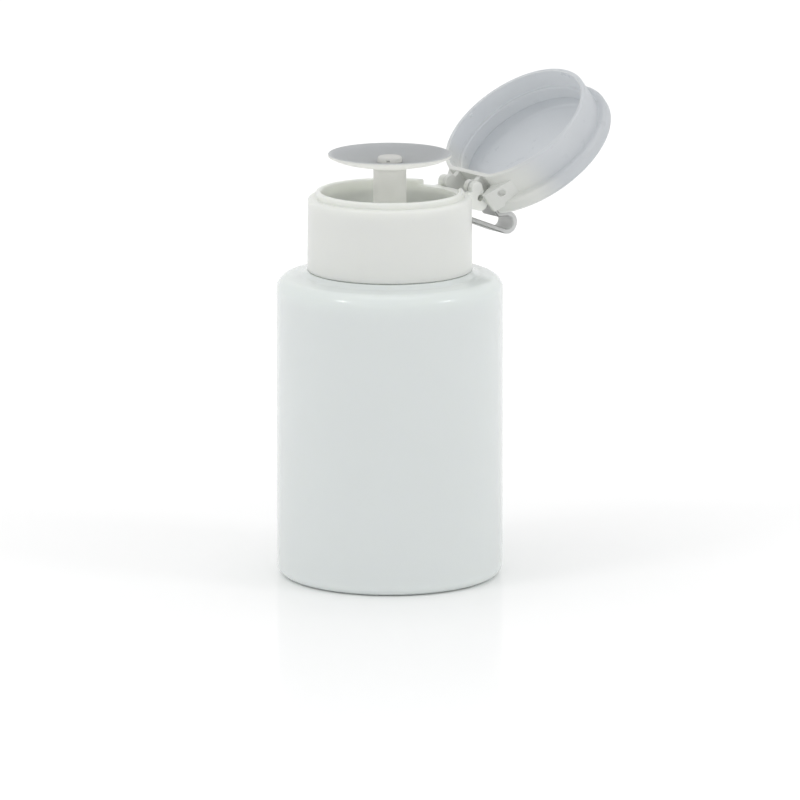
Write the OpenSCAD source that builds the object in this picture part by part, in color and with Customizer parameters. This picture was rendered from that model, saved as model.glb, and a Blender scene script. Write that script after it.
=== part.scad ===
// Push-down dispenser bottle: a blow-moulded bottle, a screw collar with a hinged lid,
// and a pump that lifts liquid through a hollow stem into a shallow dish.
// The lid is drawn open, as it stands in use. The lid's hinge is behind, at +Y.

/* [Bottle] */
// Radius of the bottle's body
body_r = 28.5; // [25:0.5:34]
// Height of the shoulder's outer edge
shoulder_z = 76.2; // [66:0.5:100]
// Rounding of the shoulder
shoulder_round = 6.4; // [3:0.2:9]
// Rounding of the base edge
base_round = 4.6; // [2:0.2:7]
// Wall of the blown bottle
bottle_wall = 1.1; // [0.8:0.1:1.8]
// Height of the hollow under the base
push_up = 1.8; // [0.8:0.1:3]
// Radius of the neck's root, under the thread
neck_r = 15.4; // [14.8:0.1:16]
// Wall of the neck
neck_wall = 1.6; // [1.2:0.1:2]
// Height of the neck above the shoulder
neck_h = 11.2; // [10:0.2:16]

/* [Collar] */
// Radius of the collar's foot
collar_r = 20.7; // [20.4:0.1:24]
// Draft of the collar's side, foot to ledge
collar_draft = 0.2; // [0:0.1:0.6]
// Wall of the collar
collar_wall = 1.4; // [1:0.1:1.8]
// Air between the shoulder and the collar's foot
collar_gap = 0.5; // [0.4:0.1:2]
// Height of the ledge that the lid closes on, above the neck's top
ledge_rise = 9.0; // [7:0.1:12]
// How far the rim stands in from the lid's skirt
rim_in = 1.6; // [1.6:0.1:2]
// Wall of that rim
rim_wall = 1.4; // [1:0.1:1.6]
// Height of that rim above the ledge
rim_h = 1.6; // [1:0.1:2.4]
// Radius of the hole in the collar's deck
deck_hole_r = 9.0; // [8.8:0.1:11]
// Thickness of the collar's deck
deck_t = 1.5; // [1:0.1:2]

/* [Lid] */
// Angle from closed to the open lid as drawn
open_angle = 142.5; // [100:0.5:150]
// How far the lid's skirt stands in from the collar's edge
lid_in = 0.3; // [0.2:0.1:0.5]
// Wall of the lid
lid_wall = 1.1; // [0.8:0.1:1.4]
// Whole height of the lid
lid_h = 12.5; // [12.3:0.1:16]
// Height of the skirt below the wider crown
skirt_h = 7.3; // [6:0.1:8.5]
// How far the crown stands out from the skirt
crown_out = 2.1; // [1.6:0.1:3]
// Depth of the inner band below the lid's rim
band_depth = 4.8; // [3.6:0.1:5]
// How far the inner band stands in from the skirt
band_in = 1.2; // [0.6:0.1:1.6]
// Width of the slope round the crown's top edge
slope_w = 4.2; // [2:0.2:5]
// Fall of that slope
slope_drop = 1.7; // [1:0.1:2]

/* [Hinge] */
// Distance of the hinge pins outside the collar's foot
hinge_out = 1.4; // [1.3:0.1:2]
// Height of the hinge pins above the ledge
hinge_rise = 0.8; // [0.6:0.1:1]
// Radius of the hinge pins
pin_r = 0.8; // [0.6:0.05:0.9]
// Half of the gap between the two lugs
lug_x = 5.4; // [5:0.1:5.6]
// Thickness of each lug
lug_t = 1.8; // [1.6:0.1:2]
// Width of the snap strap
strap_w = 6.6; // [4:0.2:7]
// Thickness of the snap strap
strap_t = 1.2; // [0.8:0.1:1.4]

/* [Pump] */
// Radius of the dish
dish_r = 15.4; // [12:0.2:15.8]
// Height of the dish's edge above its middle
dish_depth = 2.4; // [1.6:0.1:2.6]
// Thickness of the dish
dish_t = 1.1; // [0.8:0.1:1.2]
// Travel of the dish when it is pressed
stroke = 5.0; // [3:0.1:5.4]
// Outer radius of the sleeve under the dish
sleeve_r = 4.15; // [4.1:0.05:4.5]
// Wall of the sleeve
sleeve_wall = 0.8; // [0.6:0.05:0.8]
// Outer radius of the stem
stem_r = 2.2; // [2:0.05:2.3]
// Radius of the stem's bore
stem_bore_r = 1.25; // [0.9:0.05:1.3]
// Bore of the pump's cylinder
cylinder_r = 5.5; // [5.4:0.1:7]
// Wall of the pump's cylinder
cylinder_wall = 1.2; // [0.9:0.1:1.6]
// Outer radius of the dip tube
dip_r = 2.0; // [1.6:0.1:2.2]
// Wall of the dip tube
dip_wall = 0.6; // [0.4:0.1:0.8]
// Wire of the return spring
wire_d = 0.7; // [0.5:0.05:0.9]
// Working turns of the return spring
spring_turns = 6; // [4:1:8]

/* [Fits] */
// Running clearance on a radius, for pins, stem and piston
run_fit = 0.06; // [0.03:0.01:0.08]
// Clearance between pieces pushed into each other, on a radius
push_fit = 0.02; // [0.01:0.01:0.04]
// Air between moving plastic pieces that never bear on each other
free_gap = 0.3; // [0.2:0.05:0.4]

/* [Hidden] */
$fn = 96;
cut = 1; // how far a cutting shape runs past what it cuts
arc_steps = 6;

// Bottle and what stacks on its neck
neck_top = shoulder_z + neck_h;
neck_bore_r = neck_r - neck_wall;
neck_foot = 1.3; // rise of the shoulder from its edge to the neck
base_ring_r = body_r - base_round - 1.2;
gasket_t = 1.0;
gasket_r = neck_r + 0.4;
flange_t = 1.2;
flange_r = neck_r + 0.6;
flange_z = neck_top + gasket_t;
plate_z = flange_z + flange_t;

// Collar
collar_foot_z = shoulder_z + neck_foot + collar_gap;
ledge_z = neck_top + ledge_rise;
ledge_r = collar_r - collar_draft;
lid_r = ledge_r - lid_in;
rim_r = lid_r - rim_in;
hinge_y = collar_r + hinge_out;
rim_top = ledge_z + rim_h;
deck_z = plate_z + run_fit;
screw_r = flange_r + 0.5; // inner radius of the threaded skirt
screw_wall = 1.2;
rim_gap_x = lug_x + lug_t + 1; // half of the gap in the rim behind

// Lid, closed
lid_rim_z = ledge_z + 0.2;
lid_top = lid_rim_z + lid_h;
crown_z = lid_rim_z + skirt_h;
crown_r = lid_r + crown_out;
lid_inner_r = lid_r - lid_wall;
ceiling_z = lid_top - lid_wall;
flat_y = hinge_y - 3.5; // the lid's flat back, between its cheeks
flat_x = lug_x + lug_t + free_gap;

// Hinge
hinge_z = ledge_z + hinge_rise;
lug_round = 1.6;
lobe_r = 2.3;
lobe = [hinge_y + 1.1, ledge_z - 2.8];
core_hole = [hinge_y + 1.0, ledge_z - 1.8];
core_hole_r = 0.85;
lug_root_y = ledge_r - 1.8;
arm_round = 1.8;
pin_end_x = lug_x + 1.0;
arm_in_x = strap_w / 2 + free_gap + 0.1;
arm_out_x = lug_x - free_gap;
block_y = hinge_y + 0.3; // back of the blocks beside the lugs
block_rise = 2.8; // from the lid's rim up to the blocks
block_side = [flat_x + 5.3, lid_r - 4.6]; // where a block's slanted side meets the skirt
recess = ([flat_x + 1.1, block_y] + block_side) / 2;

// Snap strap: it turns at its root on the collar, bends round its fold, and ends at the lid's crown
function turn(p, a) = [p[0] * cos(a) - p[1] * sin(a), p[0] * sin(a) + p[1] * cos(a)];
function heading(v) = atan2(v[1], v[0]);
root_gap = 0.2;
root_rise = 1.8;
fold_out = 14.2;
fold_drop = 1.0;
bend_r = 2.3;
tip_out = 1.0;
tip_drop = 1.7;
tip_gap = 0.96;
tab_out = 0.2;
tab_half = 0.7;
root = [collar_r + strap_t / 2 + root_gap, neck_top + root_rise];
fold = [collar_r + fold_out, neck_top - fold_drop];
tip_closed = [flat_y + tip_out, lid_top - tip_drop];
pivot = [hinge_y, hinge_z];
tip = pivot + turn(tip_closed - pivot, -open_angle);
// the strap passes below the crown's corner on its way from the bend to its tip
corner_gap = 0.5;
crown_corner = pivot + turn([flat_y, lid_top] - pivot, -open_angle);
pass_by = crown_corner - [corner_gap / 2, strap_t / 2 + corner_gap];
// where each half leaves the bend, as an angle round the fold
low_tangent = heading(root - fold) + acos(bend_r / norm(root - fold));
high_tangent = heading(pass_by - fold) - acos(bend_r / norm(pass_by - fold));
bend_part = 44; // how far round the bend each half reaches
function on_bend(r, a) = fold + turn([r, 0], a);

// Pump
dish_rim_z = ceiling_z - 0.4;
dish_mid_z = dish_rim_z - dish_depth;
sleeve_in_r = sleeve_r - sleeve_wall;
boss_r = sleeve_in_r - 0.15;
boss_top = rim_top - 0.6;
socket_z = boss_top + stroke + 0.2;
stem_top = socket_z + 1.0;
sleeve_z = ledge_z - 2.2;
well_floor = sleeve_z - stroke - 0.5;
well_t = 1.0;
well_wall = 0.6;
cap_skirt_r = cylinder_r - push_fit;
cap_plate_r = deck_hole_r - 0.4;
seal_z = well_floor - well_t - 0.1;
seal_t = 1.4;
piston_h = 6.0;
piston_z = seal_z - seal_t - 0.2 - piston_h;
piston_r = cylinder_r - run_fit;
spring_space = 13.6;
cylinder_floor = piston_z - spring_space;
spring_r = cylinder_r - 1.3;
ball_r = 1.75;
ball_space_r = ball_r + 0.6;
inlet_r = 1.2;
inlet_z = cylinder_floor - 4.0;
ball_z = inlet_z - inlet_r + ball_r * sqrt(2) + push_fit;
spigot_r = dip_r + 1.2;
spigot_h = 8;
dip_top = inlet_z - 1.2;
dip_end = push_up + bottle_wall + 3.5;
outlet_ball_r = 1.4;
outlet_ball_z = stem_top + sqrt(pow(outlet_ball_r, 2) - pow(stem_bore_r, 2)) + push_fit;
outlet_space_r = outlet_ball_r + 0.2;
outlet_wall_r = outlet_space_r + 0.6;
outlet_wall_top = dish_mid_z + 0.4;
cap_r = outlet_wall_r + 0.9;
cap_ceiling = outlet_ball_z + outlet_ball_r + 0.4;
cap_top = cap_ceiling + 0.7;
cap_seat = dish_mid_z + push_fit;
slot_w = 0.9;
dish_curve = 12;

clear_white = [0.93, 0.94, 0.95];
milk_white = [0.87, 0.89, 0.90];
frost_grey = [0.80, 0.83, 0.86];

// A corner of an outline as an arc between its two sides, no longer than they allow
function arc_corner(before, at, after, radius) =
    let (u = (before - at) / norm(before - at), v = (after - at) / norm(after - at))
    let (half = acos(u * v) / 2)
    let (reach = min(radius / tan(half), 0.48 * norm(before - at), 0.48 * norm(after - at)))
    let (middle = at + (u + v) / norm(u + v) * reach / cos(half), sweep = 180 - 2 * half)
    let (start = at + u * reach - middle, end = at + v * reach - middle)
    [for (k = [0 : arc_steps])
        middle + (start * sin((1 - k / arc_steps) * sweep) + end * sin(k / arc_steps * sweep)) / sin(sweep)];

// An outline of [radius, height, rounding] points with its corners rounded
function rounded(outline) = [
    for (i = [0 : len(outline) - 1])
        let (n = len(outline), p = outline[i], a = outline[(i + n - 1) % n], b = outline[(i + 1) % n])
        each len(p) > 2 ? arc_corner([a[0], a[1]], [p[0], p[1]], [b[0], b[1]], p[2]) : [p]
];

module turned(outline) rotate_extrude() polygon(rounded(outline));

module ring(r_in, r_out, z, h) translate([0, 0, z]) difference() {
    cylinder(r = r_out, h = h);
    translate([0, 0, -cut]) cylinder(r = r_in, h = h + 2 * cut);
}

// A box around x, from y0 to y1 and z0 to z1
module centred_box(half_x, y0, y1, z0, z1) translate([-half_x, y0, z0]) cube([2 * half_x, y1 - y0, z1 - z0]);

// A plate cut to a shape in the Y and Z directions, from x0 to x1
module plate_x(x0, x1) translate([x0, 0, 0]) rotate([90, 0, 90]) linear_extrude(x1 - x0) children();

module both_sides() {
    children();
    mirror([1, 0, 0]) children();
}

module bottle() color(milk_white) turned([
    [0, push_up],
    [base_ring_r - 5, push_up, 4],
    [base_ring_r, 0, 1.5],
    [body_r, 0, base_round],
    [body_r, shoulder_z, shoulder_round],
    [neck_r + 0.6, shoulder_z + neck_foot, 0.8],
    [neck_r, shoulder_z + neck_foot + 0.8, 0.5],
    [neck_r, neck_top, 0.4],
    [neck_bore_r, neck_top, 0.4],
    [neck_bore_r, shoulder_z + neck_foot - bottle_wall, 1.2],
    [body_r - bottle_wall, shoulder_z - bottle_wall, shoulder_round - bottle_wall],
    [body_r - bottle_wall, bottle_wall, base_round - bottle_wall],
    [base_ring_r + 0.3, bottle_wall, 1.5],
    [base_ring_r - 5, push_up + bottle_wall, 4],
    [0, push_up + bottle_wall]
]);

module collar_shell() turned([
    [collar_r, collar_foot_z, 0.3],
    [ledge_r, ledge_z, 0.8],
    [rim_r, ledge_z, 0.2],
    [rim_r, rim_top, 0.6],
    [rim_r - rim_wall, rim_top, 0.6],
    [rim_r - rim_wall, deck_z + deck_t, 0.8],
    [deck_hole_r, deck_z + deck_t, 0.4],
    [deck_hole_r, deck_z],
    [screw_r, deck_z, 0.3],
    [screw_r, collar_foot_z + 1, 0.4],
    [screw_r + screw_wall, collar_foot_z + 1, 0.4],
    [screw_r + screw_wall, ledge_z - 1.5, 0.4],
    [collar_r - collar_wall, ledge_z - 1.5, 0.4],
    [collar_r - collar_wall, collar_foot_z, 0.3]
]);

// The lug's face: round at the pin, and round again where it hangs below it
module lug_face() {
    translate(pivot) circle(r = lug_round);
    translate(lobe) circle(r = lobe_r);
    polygon([
        [lug_root_y, ledge_z - 0.3], [hinge_y - lug_round, ledge_z], pivot - [lug_round, 0], pivot + [lug_round, 0],
        lobe + [lobe_r, 0], lobe - [0, lobe_r], [lug_root_y, lobe[1] - lobe_r / 2]
    ]);
}

module collar() color(clear_white) {
    difference() {
        collar_shell();
        centred_box(rim_gap_x, 0, collar_r, ledge_z, rim_top + cut);
    }
    both_sides() difference() {
        plate_x(lug_x, lug_x + lug_t) lug_face();
        // the pin's socket, open on the inner side
        translate([lug_x - cut, hinge_y, hinge_z]) rotate([0, 90, 0])
            cylinder(r = pin_r + run_fit, h = pin_end_x + 0.1 - lug_x + cut);
        // a small hole through the lug, below the pin
        translate([lug_x - cut, core_hole[0], core_hole[1]]) rotate([0, 90, 0])
            cylinder(r = core_hole_r, h = lug_t + 2 * cut);
    }
}

// The notch behind the lid, which clears the lugs and the strap
module lid_notch(grow) centred_box(flat_x + grow, flat_y - grow, crown_r + cut, lid_rim_z - cut, lid_top + cut);

// A block beside a lug, with a slanted side that runs into the skirt
module block(back_y, side) translate([0, 0, lid_rim_z + block_rise]) linear_extrude(skirt_h + 1 - block_rise)
    polygon([[flat_x, side[1] - 1], [flat_x, back_y], [flat_x + 1.1, back_y], side, [side[0], side[1] - 1]]);

module lid_outside() {
    turned([
        [0, lid_top], [crown_r - slope_w, lid_top, 5], [crown_r, lid_top - slope_drop, 1.6], [crown_r, crown_z, 1.2],
        [lid_r, crown_z, 0.3],
        [lid_r, lid_rim_z, 0.5], [0, lid_rim_z]
    ]);
    both_sides() {
        block(block_y, block_side);
        block(block_y - 2, block_side + [1.1, -1.3]);
    }
}

module lid_inside() turned([
    [0, lid_rim_z - cut], [lid_inner_r, lid_rim_z - cut], [lid_inner_r, lid_rim_z + band_depth, 0.3],
    [lid_inner_r - band_in, lid_rim_z + band_depth, 0.4], [lid_inner_r - band_in, crown_z + lid_wall, 0.4],
    [crown_r - lid_wall, crown_z + lid_wall, 0.5], [crown_r - lid_wall, ceiling_z - slope_drop, 0.8],
    [crown_r - slope_w, ceiling_z, 2], [0, ceiling_z]
]);

module arm_face() {
    translate([hinge_y, hinge_z]) circle(r = arm_round);
    polygon([
        [flat_y, lid_rim_z + 0.3], [hinge_y - 1, lid_rim_z + 0.3], pivot + [arm_round, 0], [block_y, hinge_z + 5],
        [flat_y, hinge_z + 5]
    ]);
}

module lid_closed() {
    difference() {
        lid_outside();
        lid_notch(0);
        difference() {
            lid_inside();
            lid_notch(lid_wall);
        }
        // a round recess in each block's slanted side
        both_sides() translate([recess[0], recess[1], lid_rim_z + 4.6])
            rotate([-90, 0, atan2(flat_x + 1.1 - block_side[0], block_y - block_side[1])])
            translate([0, 0, -0.7]) cylinder(r = 1.0, h = 3);
    }
    both_sides() {
        plate_x(arm_in_x, arm_out_x) arm_face();
        translate([arm_out_x - cut, hinge_y, hinge_z]) rotate([0, 90, 0])
            cylinder(r = pin_r, h = pin_end_x - arm_out_x + cut);
        // snap nub inside the skirt
        translate([lid_inner_r + 0.45, 0, lid_rim_z + 1.1]) sphere(r = 0.75, $fn = 24);
    }
    // tab that carries the strap's end
    centred_box(strap_w / 2, flat_y - 0.5, flat_y + tab_out, tip_closed[1] - tab_half, tip_closed[1] + tab_half);
}

module lid() color(frost_grey)
    translate([0, hinge_y, hinge_z]) rotate([-open_angle, 0, 0]) translate([0, -hinge_y, -hinge_z]) lid_closed();

// Half of the strap's section: from its end past one point to the bend, and then part of the way round it
module strap_half(end, past, tangent, way) {
    bend_start = on_bend(bend_r, tangent);
    dir_a = (past - end) / norm(past - end);
    dir_b = (bend_start - past) / norm(bend_start - past);
    side_a = [-dir_a[1], dir_a[0]] * strap_t / 2 * way;
    side_b = [-dir_b[1], dir_b[0]] * strap_t / 2 * way;
    corner = (side_a + side_b) / (1 + dir_a * dir_b);
    polygon([
        for (k = [0 : arc_steps]) end + turn(side_a, way * 180 * k / arc_steps),
        past - corner,
        for (k = [0 : arc_steps]) on_bend(bend_r + strap_t / 2, tangent + way * bend_part * k / arc_steps),
        for (k = [arc_steps : -1 : 0]) on_bend(bend_r - strap_t / 2, tangent + way * bend_part * k / arc_steps),
        past + corner
    ]);
}

module strap_lower() color(clear_white) plate_x(-strap_w / 2, strap_w / 2)
    strap_half(root, (root + on_bend(bend_r, low_tangent)) / 2, low_tangent, 1);

module strap_upper() color(clear_white) plate_x(-strap_w / 2, strap_w / 2)
    strap_half(tip + (pass_by - tip) / norm(pass_by - tip) * tip_gap, pass_by, high_tangent, -1);

module dish() color(frost_grey) difference() {
    turned([
        [0, outlet_wall_top],
        [outlet_wall_r, outlet_wall_top, 0.1],
        [outlet_wall_r, dish_mid_z],
        [cap_r + 0.4, dish_mid_z],
        [dish_r * 0.55, dish_mid_z + dish_depth * 0.24, dish_curve],
        [dish_r * 0.85, dish_mid_z + dish_depth * 0.66, dish_curve],
        [dish_r, dish_rim_z, 0.4],
        [dish_r + 0.1, dish_rim_z - dish_t * 0.8, 0.4],
        [dish_r * 0.86, dish_mid_z + dish_depth * 0.66 - dish_t, dish_curve],
        [dish_r * 0.56, dish_mid_z + dish_depth * 0.24 - dish_t, dish_curve],
        [sleeve_r, dish_mid_z - dish_t, 1.0],
        [sleeve_r, sleeve_z, 0.3],
        [sleeve_in_r, sleeve_z, 0.2],
        [sleeve_in_r, socket_z, 0.3],
        [0, socket_z]
    ]);
    translate([0, 0, socket_z - cut]) cylinder(r = stem_r + push_fit, h = stem_top - socket_z + cut);
    translate([0, 0, socket_z]) cylinder(r = outlet_space_r, h = dish_rim_z - socket_z);
}

// Cap over the outlet: a low cup with a cross of slots to let the liquid out
module outlet_cap() color(clear_white) difference() {
    turned([
        [0, cap_top], [cap_r, cap_top, 0.7], [cap_r, cap_seat, 0.2], [outlet_wall_r + push_fit, cap_seat],
        [outlet_wall_r + push_fit, cap_ceiling, 0.2], [0, cap_ceiling]
    ]);
    for (a = [45, 135]) rotate(a) translate([-cap_r - cut, -slot_w / 2, outlet_wall_top])
        cube([2 * (cap_r + cut), slot_w, cap_ceiling - outlet_wall_top]);
}

module outlet_ball() color("silver") translate([0, 0, outlet_ball_z]) sphere(r = outlet_ball_r, $fn = 48);

module stem() color(clear_white) turned([
    [stem_bore_r, piston_z - 1],
    [stem_r + 0.9, piston_z - 1, 0.3],
    [stem_r + 0.9, piston_z - push_fit, 0.2],
    [stem_r, piston_z - push_fit],
    [stem_r, stem_top],
    [stem_bore_r, stem_top]
]);

module piston() color("gainsboro") turned([
    [stem_r + push_fit, piston_z],
    [piston_r, piston_z, 0.3],
    [piston_r, piston_z + 1.3, 0.3],
    [piston_r - 1.2, piston_z + 2.0, 0.3],
    [piston_r - 1.2, piston_z + piston_h - 2.0, 0.3],
    [piston_r, piston_z + piston_h - 1.3, 0.3],
    [piston_r, piston_z + piston_h, 0.3],
    [stem_r + push_fit, piston_z + piston_h]
]);

module stem_seal() color("dimgray") ring(stem_r + run_fit, cylinder_r - 0.1, seal_z - seal_t, seal_t);

// Guide that closes the cylinder: a plate, a well for the sleeve, and a boss that leads the stem
module guide_cap() color(clear_white) turned([
    [stem_r + run_fit, well_floor - well_t],
    [cap_skirt_r, well_floor - well_t, 0.3],
    [cap_skirt_r, plate_z],
    [cap_plate_r, plate_z, 0.2],
    [cap_plate_r, plate_z + 1.2, 0.4],
    [cap_skirt_r - well_wall, plate_z + 1.2, 0.3],
    [cap_skirt_r - well_wall, well_floor, 0.2],
    [boss_r, well_floor, 0.2],
    [boss_r, boss_top, 0.3],
    [stem_r + run_fit, boss_top, 0.2]
]);

module pump_housing() color(clear_white) turned([
    [cylinder_r, plate_z, 0.2],
    [flange_r, plate_z, 0.3],
    [flange_r, flange_z, 0.3],
    [cylinder_r + cylinder_wall + 1.6, flange_z, 0.8],
    [cylinder_r + cylinder_wall, flange_z - 1.6, 0.8],
    [cylinder_r + cylinder_wall, cylinder_floor - 1.0, 0.8],
    [ball_space_r + 1.2, cylinder_floor - 1.8, 0.8],
    [spigot_r, inlet_z - 1.0, 0.6],
    [spigot_r, dip_top - spigot_h, 0.3],
    [dip_r + push_fit, dip_top - spigot_h],
    [dip_r + push_fit, dip_top],
    [inlet_r, dip_top],
    [inlet_r, inlet_z],
    [ball_space_r, inlet_z + ball_space_r - inlet_r],
    [ball_space_r, cylinder_floor, 0.3],
    [cylinder_r, cylinder_floor, 0.3]
]);

// The spring's wire along a helix, with a closed turn at each end
spring_low = cylinder_floor + wire_d / 2 + 0.03;
spring_high = piston_z - 1 - wire_d / 2 - 0.03;
wire_sides = 8;
steps_per_turn = 20;
spring_steps = steps_per_turn * (spring_turns + 2);
function climb(t) = t < 1 ? 0 : t > spring_turns + 1 ? 1 : (t - 1) / spring_turns;
function helix_z(t) = spring_low + wire_d * (min(t, 1) + max(0, t - spring_turns - 1))
    + climb(t) * (spring_high - spring_low - 2 * wire_d);
module return_spring() color("silver") polyhedron(
    points = [
        for (i = [0 : spring_steps], j = [0 : wire_sides - 1])
            let (t = i / steps_per_turn, r = spring_r + wire_d / 2 * cos(360 * j / wire_sides))
            [r * cos(360 * t), r * sin(360 * t), helix_z(t) + wire_d / 2 * sin(360 * j / wire_sides)]
    ],
    faces = [
        [for (j = [0 : wire_sides - 1]) j],
        [for (j = [wire_sides - 1 : -1 : 0]) spring_steps * wire_sides + j],
        for (i = [0 : spring_steps - 1], j = [0 : wire_sides - 1])
            let (k = (j + 1) % wire_sides, a = i * wire_sides, b = (i + 1) * wire_sides)
            [a + j, b + j, b + k, a + k]
    ]
);

module inlet_ball() color("silver") translate([0, 0, ball_z]) sphere(r = ball_r, $fn = 48);

module neck_gasket() color("white") ring(neck_bore_r + 0.2, gasket_r, neck_top, gasket_t);

module dip_tube() color(clear_white) ring(dip_r - dip_wall, dip_r, dip_end, dip_top - dip_end - push_fit);

bottle();
collar();
lid();
strap_lower();
strap_upper();
dish();
outlet_cap();
outlet_ball();
stem();
piston();
stem_seal();
guide_cap();
pump_housing();
return_spring();
inlet_ball();
neck_gasket();
dip_tube();
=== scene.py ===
# %% [markdown]
# # A push-down dispenser bottle with a hinged lid
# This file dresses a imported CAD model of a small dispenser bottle: a milky blown bottle, a
# white screw collar, a frosted lid that hangs open on its hinge, a bent snap strap, and a
# shallow dish that pumps liquid up when it is pressed. The model comes in as a fixed frame,
# in metres, so every new piece can be made straight at its real place.

# %% Load the frame
import math

import bmesh
import bpy
from mathutils import Matrix, Vector


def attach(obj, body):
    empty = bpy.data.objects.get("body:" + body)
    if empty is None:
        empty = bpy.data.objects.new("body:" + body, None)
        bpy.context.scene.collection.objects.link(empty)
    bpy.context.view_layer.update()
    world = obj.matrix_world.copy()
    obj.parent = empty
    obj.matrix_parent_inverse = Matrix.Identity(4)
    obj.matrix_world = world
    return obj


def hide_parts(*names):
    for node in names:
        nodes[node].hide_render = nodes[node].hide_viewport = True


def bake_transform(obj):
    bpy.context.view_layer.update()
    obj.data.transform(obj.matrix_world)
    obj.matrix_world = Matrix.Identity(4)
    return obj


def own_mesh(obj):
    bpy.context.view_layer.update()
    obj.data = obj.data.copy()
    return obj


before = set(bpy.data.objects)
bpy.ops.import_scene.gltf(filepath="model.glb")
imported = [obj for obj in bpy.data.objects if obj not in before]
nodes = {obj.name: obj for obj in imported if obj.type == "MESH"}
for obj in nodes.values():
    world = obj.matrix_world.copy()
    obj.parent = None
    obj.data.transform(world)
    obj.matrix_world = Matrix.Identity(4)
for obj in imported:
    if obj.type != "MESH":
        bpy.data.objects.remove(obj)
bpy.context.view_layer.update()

MM = 0.001

# %% [markdown]
# ## The camera
# A product photographer steps far back and uses a long lens, because the sides of a bottle then
# stay parallel. The camera here stands 1.8 m away, a little above the dish, and looks at the
# middle of the bottle. A small shift of the lens frames the bottle with free space round it, as a
# catalogue picture does, without turning the camera.

# %% Camera
AZIMUTH, ELEVATION, DISTANCE = math.radians(53.5), math.radians(11.8), 1.8
PICTURE_PX, FOCAL_PX, SENSOR_MM = 800, 7150, 36
aim = Vector((0, 0, 0.050))
back = Vector((
    math.sin(AZIMUTH) * math.cos(ELEVATION),
    -math.cos(AZIMUTH) * math.cos(ELEVATION),
    math.sin(ELEVATION),
))
camera = bpy.data.objects.new("camera", bpy.data.cameras.new("camera"))
bpy.context.collection.objects.link(camera)
camera.location = aim + back * DISTANCE
camera.rotation_euler = back.to_track_quat("Z", "Y").to_euler()
camera.data.sensor_width = SENSOR_MM
camera.data.lens = FOCAL_PX / PICTURE_PX * SENSOR_MM
camera.data.shift_x = 10.2 / PICTURE_PX
camera.data.shift_y = -22 / PICTURE_PX
camera.data.clip_end = 20
bpy.context.scene.camera = camera
print("camera at", [round(c, 3) for c in camera.location], "lens", round(camera.data.lens, 1))

# %% [markdown]
# ## The stage
# Pale plastic on white needs even light from all round, as in a light tent. Two small soft boxes
# leave one highlight each on the rounded shoulder, and a wide weak one overhead fills the top. The
# background is white because the world is white to the camera, to reflections and to see-through
# plastic; what it sends onto the bottle is less. The floor adds a little white of its own for the
# same rays, so that it meets the background without a line and still takes the bottle's contact
# shadow.

# %% Helpers for shader nodes


def calculated(tree, operation, first, second):
    """Two values put together by one Math node."""
    maths = tree.nodes.new("ShaderNodeMath")
    maths.operation = operation
    tree.links.new(first, maths.inputs[0])
    tree.links.new(second, maths.inputs[1])
    return maths.outputs[0]


def remapped(tree, value, to_min, to_max, from_min=0.0, from_max=1.0):
    """A value moved from one range to another, and kept inside it."""
    ramp = tree.nodes.new("ShaderNodeMapRange")
    ramp.inputs["From Min"].default_value = from_min
    ramp.inputs["From Max"].default_value = from_max
    ramp.inputs["To Min"].default_value = to_min
    ramp.inputs["To Max"].default_value = to_max
    tree.links.new(value, ramp.inputs["Value"])
    return ramp.outputs["Result"]


def noise(tree, vector, scale, detail):
    """A noise pattern, as a value from 0 to 1."""
    pattern = tree.nodes.new("ShaderNodeTexNoise")
    pattern.inputs["Scale"].default_value = scale
    pattern.inputs["Detail"].default_value = detail
    tree.links.new(vector, pattern.inputs["Vector"])
    return pattern.outputs["Fac"]


def between_tones(tree, factor, tone_at_0, tone_at_1):
    """A colour between two plain tones."""
    tones = tree.nodes.new("ShaderNodeMix")
    tones.data_type = "RGBA"
    tones.inputs["A"].default_value = (*tone_at_0, 1)
    tones.inputs["B"].default_value = (*tone_at_1, 1)
    tree.links.new(factor, tones.inputs["Factor"])
    return tones.outputs["Result"]


def seen_directly(tree):
    """1 for rays that come from the camera, a reflection or a see-through surface."""
    path = tree.nodes.new("ShaderNodeLightPath").outputs
    seen_or_mirrored = calculated(tree, "MAXIMUM", path["Is Camera Ray"], path["Is Glossy Ray"])
    return calculated(tree, "MAXIMUM", seen_or_mirrored, path["Is Transmission Ray"])


print("four node helpers and a mask for rays that see the background")

# %% World and soft boxes
scene = bpy.context.scene
scene.view_settings.view_transform = "Standard"

TENT_LIGHT, TENT_WHITE = 0.75, 1.0
world = bpy.data.worlds.new("light tent")
scene.world = world
world.use_nodes = True
tent = world.node_tree
background = tent.nodes["Background"]
background.inputs["Color"].default_value = (1, 1, 1, 1)
level = remapped(tent, seen_directly(tent), TENT_LIGHT, TENT_WHITE)
tent.links.new(level, background.inputs["Strength"])


def soft_box(name, side_deg, height_deg, wide, high, watts, distance=1.1):
    """An oblong area lamp aimed at the bottle, placed by its angle from the camera."""
    turn, rise = AZIMUTH + math.radians(side_deg), math.radians(height_deg)
    level_part = math.cos(rise)
    way = Vector((math.sin(turn) * level_part, -math.cos(turn) * level_part, math.sin(rise)))
    lamp = bpy.data.objects.new(name, bpy.data.lights.new(name, "AREA"))
    bpy.context.collection.objects.link(lamp)
    lamp.location = Vector((0, 0, 0.06)) + way * distance
    lamp.rotation_euler = way.to_track_quat("Z", "Y").to_euler()
    lamp.data.shape = "RECTANGLE"
    lamp.data.size = wide
    lamp.data.size_y = high
    lamp.data.energy = watts
    print(name, [round(c, 2) for c in lamp.location], watts, "W")


soft_box("soft box left", -56, 40, 0.26, 0.08, 1.1)
soft_box("soft box right", 66, 33, 0.26, 0.08, 1.1)
soft_box("top box", 180, 84, 1.6, 1.6, 7, distance=2.5)

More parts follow.
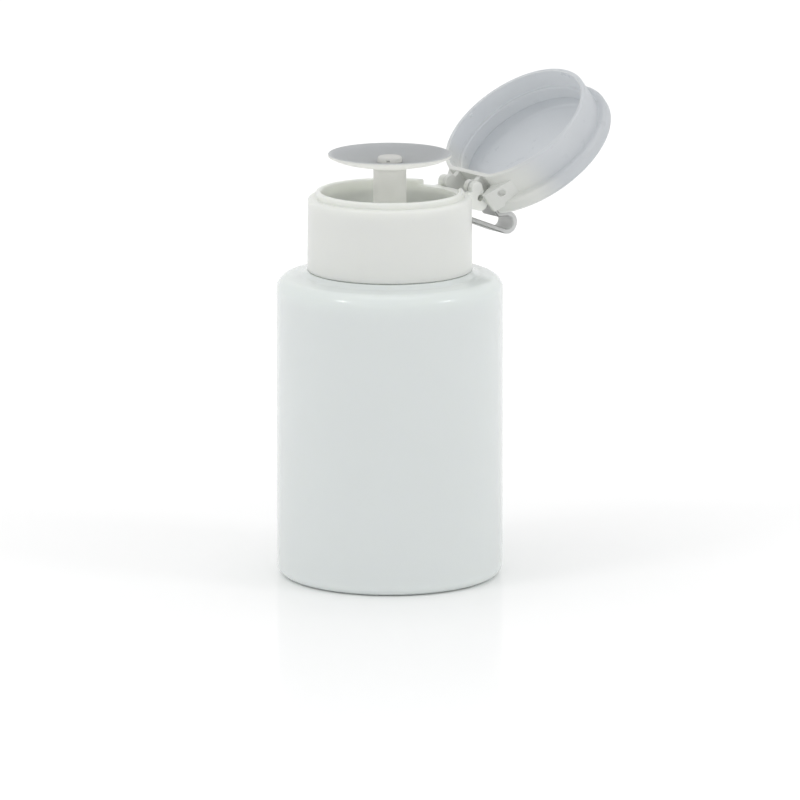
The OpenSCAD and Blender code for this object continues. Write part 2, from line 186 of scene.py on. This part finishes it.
# %% Floor
FLOOR_RADIUS = 6.0
GLOW_START, GLOW_END, GLOW = 0.04, 0.30, 0.17
floor_mesh = bpy.data.meshes.new("floor")
bm = bmesh.new()
bmesh.ops.create_circle(bm, cap_ends=True, cap_tris=False, segments=64, radius=FLOOR_RADIUS)
bm.to_mesh(floor_mesh)
bm.free()
floor = bpy.data.objects.new("floor", floor_mesh)
bpy.context.collection.objects.link(floor)
floor_finish = bpy.data.materials.new("white sheet")
floor_finish.use_nodes = True
sheet = floor_finish.node_tree
sheet.nodes.remove(sheet.nodes["Principled BSDF"])
paper = sheet.nodes.new("ShaderNodeBsdfDiffuse")
paper.inputs["Color"].default_value = (0.845, 0.845, 0.845, 1)
polish = sheet.nodes.new("ShaderNodeBsdfGlossy")
polish.inputs["Color"].default_value = (0.18, 0.18, 0.18, 1)
polish.inputs["Roughness"].default_value = 0.04
glow = sheet.nodes.new("ShaderNodeEmission")
spot = sheet.nodes.new("ShaderNodeTexCoord")
away = sheet.nodes.new("ShaderNodeVectorMath")
away.operation = "LENGTH"
sheet.links.new(spot.outputs["Object"], away.inputs[0])
# Painted light: the floor's glow rises with distance from the bottle, none within GLOW_START and
# full from GLOW_END, so the far floor reaches white while round the base only the real light and
# contact shadow show.
glow_by_distance = remapped(sheet, away.outputs["Value"], 0.0, GLOW, GLOW_START, GLOW_END)
glow_level = calculated(sheet, "MULTIPLY", seen_directly(sheet), glow_by_distance)
sheet.links.new(glow_level, glow.inputs["Strength"])
layers = paper.outputs[0]
for layer in (polish, glow):
    both = sheet.nodes.new("ShaderNodeAddShader")
    sheet.links.new(layers, both.inputs[0])
    sheet.links.new(layer.outputs[0], both.inputs[1])
    layers = both.outputs[0]
sheet.links.new(layers, sheet.nodes["Material Output"].inputs["Surface"])
floor_mesh.materials.append(floor_finish)
print("floor radius", FLOOR_RADIUS, "m, full glow from", GLOW_END, "m")

# %% [markdown]
# ## The plastics
# All of it is polyolefin: the bottle is milky, the collar is whiter, and the lid and dish are
# natural and let some light through. Such plastic is never one flat colour. Its wall varies a
# little, so a slow cloud of noise shifts the colour; its skin has a fine orange peel, so a small
# noise drives a weak bump; and handling leaves it glossier in places. Every
# pattern reads Object coordinates, so it stays where it is on the part from every side.
#
# Glass-like transmission would show what is inside, and natural plastic hides it. A share of the
# Translucent shader gives that look: a thin wall glows with the light from behind it and looks
# grey from in front. Where the plastic is thick, at a rim, in the sleeve or round the hinge, less
# light gets through, so it looks paler. A Bevel node finds the edges, since its softened normal
# leaves the true one there; it rounds them in the light as well. On the lid and the dish the
# edges also get a near-white tone: partly the paler look of thicker plastic, partly a painted
# edge highlight. On the dish, faces that look up get a darker grey: painted shade.

# %% A helper for plastics


def plastic(
    name, tone, deep_tone, rough=(0.30, 0.42), cloud=45, peel=900, peel_depth=0.00004,
    soft=0.0, reach=0.003, through=0.0, edge=0.0, thick_and_lit_edge_tone=None, near=None, top_shade_tone=None,
    solid_below=None,
):
    """A moulded plastic: two close tones in slow clouds, uneven gloss and a fine orange peel.

    soft scatters light inside the wall, through lets it out on the far side, and edge is the
    radius in metres to which the shader softens sharp edges. thick_and_lit_edge_tone is the tone
    painted on those edges, partly the paler look of thicker plastic and partly a painted edge
    highlight;
    near = (y, z, radius, tone) one for thicker plastic round a line along X, and top_shade_tone a
    darker tone painted as shade on faces that look up. Thick plastic, at an edge, near that
    line or below the height solid_below, lets hardly any light through.
    """
    material = bpy.data.materials.new(name)
    material.use_nodes = True
    tree = material.node_tree
    shader = tree.nodes["Principled BSDF"]
    where = tree.nodes.new("ShaderNodeTexCoord")
    place = tree.nodes.new("ShaderNodeMapping")
    tree.links.new(where.outputs["Object"], place.inputs["Vector"])

    clouds = noise(tree, place.outputs["Vector"], cloud, 3)
    colour, thick = between_tones(tree, clouds, deep_tone, tone), []

    def mask_from(value, low, high):
        """0 where the value is low and 1 where it is high, with a soft step between."""
        ramp = tree.nodes.new("ShaderNodeMapRange")
        ramp.interpolation_type = "SMOOTHSTEP"
        ramp.inputs["From Min"].default_value = low
        ramp.inputs["From Max"].default_value = high
        tree.links.new(value, ramp.inputs["Value"])
        return ramp.outputs["Result"]

    def painted(mask, tone_there):
        """The colour so far with another tone where the mask is 1."""
        over = tree.nodes.new("ShaderNodeMix")
        over.data_type = "RGBA"
        over.inputs["B"].default_value = (*tone_there, 1)
        tree.links.new(colour, over.inputs["A"])
        tree.links.new(mask, over.inputs["Factor"])
        return over.outputs["Result"]

    def height_of(vector):
        """The Z part of a vector."""
        parts = tree.nodes.new("ShaderNodeSeparateXYZ")
        tree.links.new(vector, parts.inputs["Vector"])
        return parts.outputs["Z"]

    # Painted shade: faces that look up take the darker top_shade_tone.
    if top_shade_tone:
        colour = painted(mask_from(height_of(where.outputs["Normal"]), 0.2, 0.7), top_shade_tone)
    if solid_below:
        height = height_of(where.outputs["Object"])
        thick.append(mask_from(height, solid_below + 0.002, solid_below))
    if near:
        line_y, line_z, radius, near_tone = near
        from_line = tree.nodes.new("ShaderNodeMapping")
        from_line.inputs["Location"].default_value = (0, -line_y, -line_z)
        from_line.inputs["Scale"].default_value = (0, 1, 1)
        tree.links.new(where.outputs["Object"], from_line.inputs["Vector"])
        gap = tree.nodes.new("ShaderNodeVectorMath")
        gap.operation = "LENGTH"
        tree.links.new(from_line.outputs["Vector"], gap.inputs[0])
        thick.append(mask_from(gap.outputs["Value"], radius * 1.4, radius * 0.7))
        colour = painted(thick[-1], near_tone)
    if edge:
        soft_edge = tree.nodes.new("ShaderNodeBevel")
        soft_edge.samples = 8
        soft_edge.inputs["Radius"].default_value = edge
    # Edges take the near-white thick_and_lit_edge_tone: partly the paler look of thicker plastic,
    # partly a painted edge highlight.
    if edge and thick_and_lit_edge_tone:
        true_side = tree.nodes.new("ShaderNodeNewGeometry")
        agree = tree.nodes.new("ShaderNodeVectorMath")
        agree.operation = "DOT_PRODUCT"
        tree.links.new(soft_edge.outputs["Normal"], agree.inputs[0])
        tree.links.new(true_side.outputs["Normal"], agree.inputs[1])
        thick.append(mask_from(agree.outputs["Value"], 0.995, 0.90))
        colour = painted(thick[-1], thick_and_lit_edge_tone)
    tree.links.new(colour, shader.inputs["Base Color"])

    handling = noise(tree, place.outputs["Vector"], cloud * 4, 4)
    tree.links.new(remapped(tree, handling, *rough), shader.inputs["Roughness"])

    skin = noise(tree, place.outputs["Vector"], peel, 2)
    bump = tree.nodes.new("ShaderNodeBump")
    bump.inputs["Strength"].default_value = 0.35
    bump.inputs["Distance"].default_value = peel_depth
    tree.links.new(skin, bump.inputs["Height"])
    tree.links.new(bump.outputs["Normal"], shader.inputs["Normal"])
    if edge:
        tree.links.new(soft_edge.outputs["Normal"], bump.inputs["Normal"])

    if soft:
        shader.inputs["Subsurface Weight"].default_value = soft
        shader.inputs["Subsurface Radius"].default_value = (1.0, 1.0, 0.9)
        shader.inputs["Subsurface Scale"].default_value = reach
    if through:
        far_side = tree.nodes.new("ShaderNodeBsdfTranslucent")
        tree.links.new(colour, far_side.inputs["Color"])
        share = tree.nodes.new("ShaderNodeMixShader")
        share.inputs["Fac"].default_value = through
        if thick:
            thickest = thick[0]
            for other in thick[1:]:
                thickest = calculated(tree, "MAXIMUM", thickest, other)
            tree.links.new(remapped(tree, thickest, through, through * 0.2), share.inputs["Fac"])
        tree.links.new(shader.outputs["BSDF"], share.inputs[1])
        tree.links.new(far_side.outputs["BSDF"], share.inputs[2])
        surface = tree.nodes["Material Output"].inputs["Surface"]
        tree.links.new(share.outputs["Shader"], surface)
    print(name, "tone", tone, "softness", soft, "let through", through)
    return material


# %% Finishes
milky = plastic(
    "milky bottle plastic", (0.775, 0.825, 0.805), (0.76, 0.81, 0.79), rough=(0.10, 0.20),
    soft=0.6,
)
white = plastic(
    "white collar plastic", (0.91, 0.935, 0.875), (0.895, 0.92, 0.86), rough=(0.26, 0.36),
    cloud=60, soft=0.6, through=0.1, edge=0.00025,
)
frosted = plastic(
    "frosted lid plastic", (0.80, 0.815, 0.83), (0.765, 0.785, 0.805), rough=(0.24, 0.34),
    # The lid's edges are painted near-white: partly thicker plastic, partly a painted edge
    # highlight.
    cloud=70, through=0.5, edge=0.0002, thick_and_lit_edge_tone=(0.95, 0.95, 0.94),
    near=(0.025, 0.092, 0.0115, (0.78, 0.79, 0.765)),
)
band = plastic(
    "bent strap plastic", (0.82, 0.825, 0.82), (0.79, 0.795, 0.79), rough=(0.20, 0.30),
    cloud=150, through=0.35,
)
dish_plastic = plastic(
    "natural dish plastic", (0.93, 0.93, 0.905), (0.90, 0.90, 0.875), rough=(0.26, 0.36),
    # The dish's edges are painted near-white: partly thicker plastic, partly a painted edge
    # highlight.
    cloud=80, through=0.7, edge=0.00025, thick_and_lit_edge_tone=(0.94, 0.94, 0.93),
    # Painted shade: a darker grey on the faces of the dish that look up.
    top_shade_tone=(0.66, 0.67, 0.69), solid_below=0.103,
)
natural = plastic(
    "natural pump plastic", (0.90, 0.90, 0.88), (0.87, 0.87, 0.85), cloud=90, through=0.5,
    edge=0.0002,
)
grey_seal = plastic("grey piston plastic", (0.42, 0.43, 0.44), (0.36, 0.37, 0.38), cloud=120)
rubber = plastic(
    "seal rubber", (0.06, 0.06, 0.065), (0.04, 0.04, 0.045), rough=(0.55, 0.75), cloud=200,
)
foam = plastic(
    "foam gasket", (0.70, 0.70, 0.68), (0.56, 0.56, 0.55), rough=(0.8, 0.95), cloud=900,
    peel=2500, peel_depth=0.0002,
)


def bright_steel(name, rough):
    """Drawn or ground steel: grey metal whose gloss varies with fine marks."""
    material = bpy.data.materials.new(name)
    material.use_nodes = True
    tree = material.node_tree
    shader = tree.nodes["Principled BSDF"]
    shader.inputs["Metallic"].default_value = 1.0
    where = tree.nodes.new("ShaderNodeTexCoord")
    marks = noise(tree, where.outputs["Object"], 1500, 2)
    tint = between_tones(tree, marks, (0.50, 0.50, 0.51), (0.62, 0.62, 0.63))
    tree.links.new(tint, shader.inputs["Base Color"])
    tree.links.new(remapped(tree, marks, rough, rough + 0.12), shader.inputs["Roughness"])
    print(name, "roughness", rough)
    return material


ball_steel = bright_steel("ground ball steel", 0.12)
spring_steel = bright_steel("drawn spring wire", 0.28)

# %% [markdown]
# ## Dress the CAD solids
# A solid whose shape is right keeps its mesh and takes a finish in its material slot.

# %% Dress the nodes
finish_of = {
    "bottle": milky, "collar": white, "lid": frosted, "strap_lower": band, "strap_upper": band,
    "dish": dish_plastic, "outlet_cap": natural, "outlet_ball": ball_steel, "stem": natural,
    "piston": grey_seal, "stem_seal": rubber, "guide_cap": white, "pump_housing": natural,
    "return_spring": spring_steel, "inlet_ball": ball_steel, "neck_gasket": foam,
    "dip_tube": natural,
}
for name, finish in finish_of.items():
    mesh = nodes[name].data
    mesh.materials.clear()
    mesh.materials.append(finish)
print("dressed", len(finish_of), "solids")

# %% [markdown]
# ## The bottle
# A blown bottle is a round shell with soft corners. It can be cut from a cylinder with many
# loops, or turned like clay on a wheel: one line is drawn from the middle of the base up over
# the shoulder to the neck and down again inside, its corners are rounded, and the line is spun
# through a full turn. The wheel is chosen here, because every height on the line is a real size,
# and the wall comes with it.

# %% Helpers for turned pieces


def rounding_reach(before, at, after, radius):
    """How far from a corner an arc of that radius starts, kept short of the neighbours."""
    u, v = (Vector(before) - Vector(at)), (Vector(after) - Vector(at))
    half = u.angle(v) / 2
    return min(radius / math.tan(half), 0.48 * u.length, 0.48 * v.length)


def keep_mesh(bm, name, finish, sharp_deg=35):
    """Turns a bmesh in millimetres into a smooth object in metres, with its place in its mesh."""
    bmesh.ops.scale(bm, vec=(MM, MM, MM), verts=bm.verts)
    mesh = bpy.data.meshes.new(name)
    bm.to_mesh(mesh)
    bm.free()
    mesh.shade_smooth()
    mesh.set_sharp_from_angle(angle=math.radians(sharp_deg))
    mesh.materials.append(finish)
    piece = bpy.data.objects.new(name, mesh)
    bpy.context.collection.objects.link(piece)
    print(name, "faces", len(mesh.polygons), "size mm", [round(v / MM, 1) for v in piece.dimensions])
    return piece


def turned(name, outline, finish, steps=144, segments=8):
    """Spins an outline of (radius, height, rounding) points round Z. Its ends have no rounding."""
    bm = bmesh.new()
    corners = [bm.verts.new((point[0], 0, point[1])) for point in outline]
    for start, end in zip(corners, corners[1:]):
        bm.edges.new((start, end))
    for i, point in enumerate(outline):
        if len(point) > 2:
            before, after = outline[i - 1][:2], outline[i + 1][:2]
            reach = rounding_reach(before, point[:2], after, point[2])
            bmesh.ops.bevel(
                bm, geom=[corners[i]], offset=reach, offset_type="OFFSET", segments=segments,
                profile=0.5, affect="VERTICES", material=-1, clamp_overlap=False,
            )
    bmesh.ops.spin(
        bm, geom=bm.verts[:] + bm.edges[:], cent=(0, 0, 0), axis=(0, 0, 1), angle=math.tau,
        steps=steps, use_merge=True, dvec=(0, 0, 0),
    )
    bmesh.ops.remove_doubles(bm, verts=bm.verts, dist=0.0005)
    bmesh.ops.recalc_face_normals(bm, faces=bm.faces)
    return keep_mesh(bm, name, finish)


# %% Bottle
bottle = turned("blown_bottle", [
    (0, 1.8), (17.7, 1.8, 4), (22.7, 0, 1.5), (28.5, 0, 4.6), (28.5, 76.1, 6.4),
    (22.3, 76.9, 2.0), (20.9, 77.9, 0.2), (16.0, 77.9, 0.4), (15.4, 78.4, 0.3),
    (15.4, 87.4, 0.4), (13.8, 87.4, 0.4), (13.8, 76.4, 1.2), (27.4, 75.1, 5.3),
    (27.4, 1.1, 3.5), (23.0, 1.1, 1.5), (17.7, 2.9, 4), (0, 2.9),
], milky)
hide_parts("bottle")
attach(bottle, "base")

# %% [markdown]
# ## The thread
# The collar climbs the neck on a thread of 4 mm pitch, a low ridge with sloping sides. A ridge
# like this can be swept along a helix curve, or spun: its section is turned round the neck and
# lifted a little at every step. Spin does both at once, so the pitch stays exact.

# %% Neck thread
neck_r, sunk, ridge_high = 15.4, 0.15, 0.65
thread_foot, pitch, thread_turns, thread_steps = 79.6, 4.0, 1.25, 120
bm = bmesh.new()
section = [bm.verts.new((r, 0, thread_foot + rise)) for r, rise in (
    (neck_r - sunk, 0), (neck_r + ridge_high, 0.5), (neck_r + ridge_high, 1.0),
    (neck_r - sunk, 1.6),
)]
ridge_end = bm.faces.new(section)
bmesh.ops.spin(
    bm, geom=[ridge_end], cent=(0, 0, 0), axis=(0, 0, 1), angle=math.tau * thread_turns,
    steps=thread_steps, dvec=(0, 0, pitch * thread_turns / thread_steps),
)
bmesh.ops.recalc_face_normals(bm, faces=bm.faces)
thread = keep_mesh(bm, "neck_thread", milky)
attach(thread, "base")

# %% [markdown]
# ## The snap strap
# A thin band of the same moulding joins the collar to the lid. Open, it hangs bent double below
# the hinge, and it springs the lid over its middle. It can be drawn as a curve with a flat
# section, or made as it bends in the hand: a flat section is pushed straight out from the collar,
# turned round the bend, and pushed straight on to the lid. Extrude and spin do exactly that, and
# the band keeps its width and thickness all the way. In the CAD model it is two stiff halves;
# here one band turns smoothly from one half to the other.

# %% Strap
strap_width, strap_thick, strap_rounding = 6.6, 1.2, 0.25
root, fold, tip = Vector((0, 21.5, 89.2)), Vector((0, 34.9, 86.4)), Vector((0, 30.293, 90.63))
past_corner = Vector((0, 31.87, 88.79))
bend_r, bend_steps, inside_root = 2.3, 32, 0.9
lower_steps, upper_steps = 14, 5
low_angle, high_angle = math.radians(248.525), math.radians(88.32 + 360)


def round_fold(angle):
    """The point of the bend's middle line at an angle about the fold."""
    return fold + Vector((0, math.cos(angle), math.sin(angle))) * bend_r


bend_start, bend_end = round_fold(low_angle), round_fold(high_angle)
bm = bmesh.new()
bmesh.ops.create_grid(bm, x_segments=6, y_segments=1, size=0.5)
run = (bend_start - root).normalized()
square = Matrix((Vector((1, 0, 0)), Vector((0, -run.z, run.y)), run)).transposed()
bmesh.ops.scale(bm, vec=(strap_width, strap_thick, 1), verts=bm.verts)
bmesh.ops.rotate(bm, cent=(0, 0, 0), matrix=square, verts=bm.verts)
bmesh.ops.translate(bm, vec=root - run * inside_root, verts=bm.verts)


def push_on(front, step, times):
    """Extrudes the band's front section along a step, several times, and returns its new front."""
    for _ in range(times):
        grown = bmesh.ops.extrude_face_region(bm, geom=front)["geom"]
        front = [g for g in grown if isinstance(g, bmesh.types.BMFace)]
        moved = [g for g in grown if isinstance(g, bmesh.types.BMVert)]
        bmesh.ops.translate(bm, vec=step, verts=moved)
    return front


lower_way = bend_start - root + run * inside_root
front = push_on(bm.faces[:], lower_way / lower_steps, lower_steps)
turned_round = bmesh.ops.spin(
    bm, geom=front, cent=fold, axis=(1, 0, 0), angle=high_angle - low_angle, steps=bend_steps,
    dvec=(0, 0, 0),
)
front = [g for g in turned_round["geom_last"] if isinstance(g, bmesh.types.BMFace)]
front = push_on(front, (past_corner - bend_end) / upper_steps, upper_steps)
push_on(front, (tip - past_corner) / upper_steps, upper_steps)
bmesh.ops.remove_doubles(bm, verts=bm.verts, dist=0.0005)
bmesh.ops.recalc_face_normals(bm, faces=bm.faces)
shared = [e for e in bm.edges if len(e.link_faces) == 2]
rims = [e for e in shared if e.calc_face_angle() > math.radians(60)]
bmesh.ops.bevel(
    bm, geom=rims, offset=strap_rounding, offset_type="OFFSET", segments=3, profile=0.5,
    affect="EDGES", material=-1,
)
strap = keep_mesh(bm, "snap_strap", band)
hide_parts("strap_lower", "strap_upper")
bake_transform(strap)

# %% [markdown]
# ## The return spring
# The spring under the pump's stem is round wire, wound with a closed turn at each end so that it
# stands flat. A curve with a round bevel could draw it; spinning a small circle with a lift at
# each step gives the same wire, and the lift is changed from turn to turn. It replaces the stiff
# CAD spring.

# %% Spring
spring_r, wire_d, working_turns, steps_a_turn = 4.2, 0.7, 6, 32
spring_low, spring_high, press = 66.4, 79.0, 5.0
closed_lift = wire_d * 1.05
working_lift = (spring_high - spring_low - wire_d - 2 * closed_lift) / working_turns
bm = bmesh.new()
section = bmesh.ops.create_circle(bm, cap_ends=True, segments=12, radius=wire_d / 2)["verts"]
bmesh.ops.rotate(bm, cent=(0, 0, 0), matrix=Matrix.Rotation(math.pi / 2, 3, "X"), verts=section)
bmesh.ops.translate(bm, vec=(spring_r, 0, spring_low + wire_d / 2), verts=section)
front = bm.faces[:]
for turns, lift in ((1, closed_lift), (working_turns, working_lift), (1, closed_lift)):
    wound = bmesh.ops.spin(
        bm, geom=front, cent=(0, 0, 0), axis=(0, 0, 1), angle=math.tau * turns,
        steps=steps_a_turn * turns, dvec=(0, 0, lift / steps_a_turn),
    )
    front = [g for g in wound["geom_last"] if isinstance(g, bmesh.types.BMFace)]
bmesh.ops.recalc_face_normals(bm, faces=bm.faces)
spring = keep_mesh(bm, "wound_spring", spring_steel)
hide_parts("return_spring")
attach(spring, "pump_body")
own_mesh(spring)
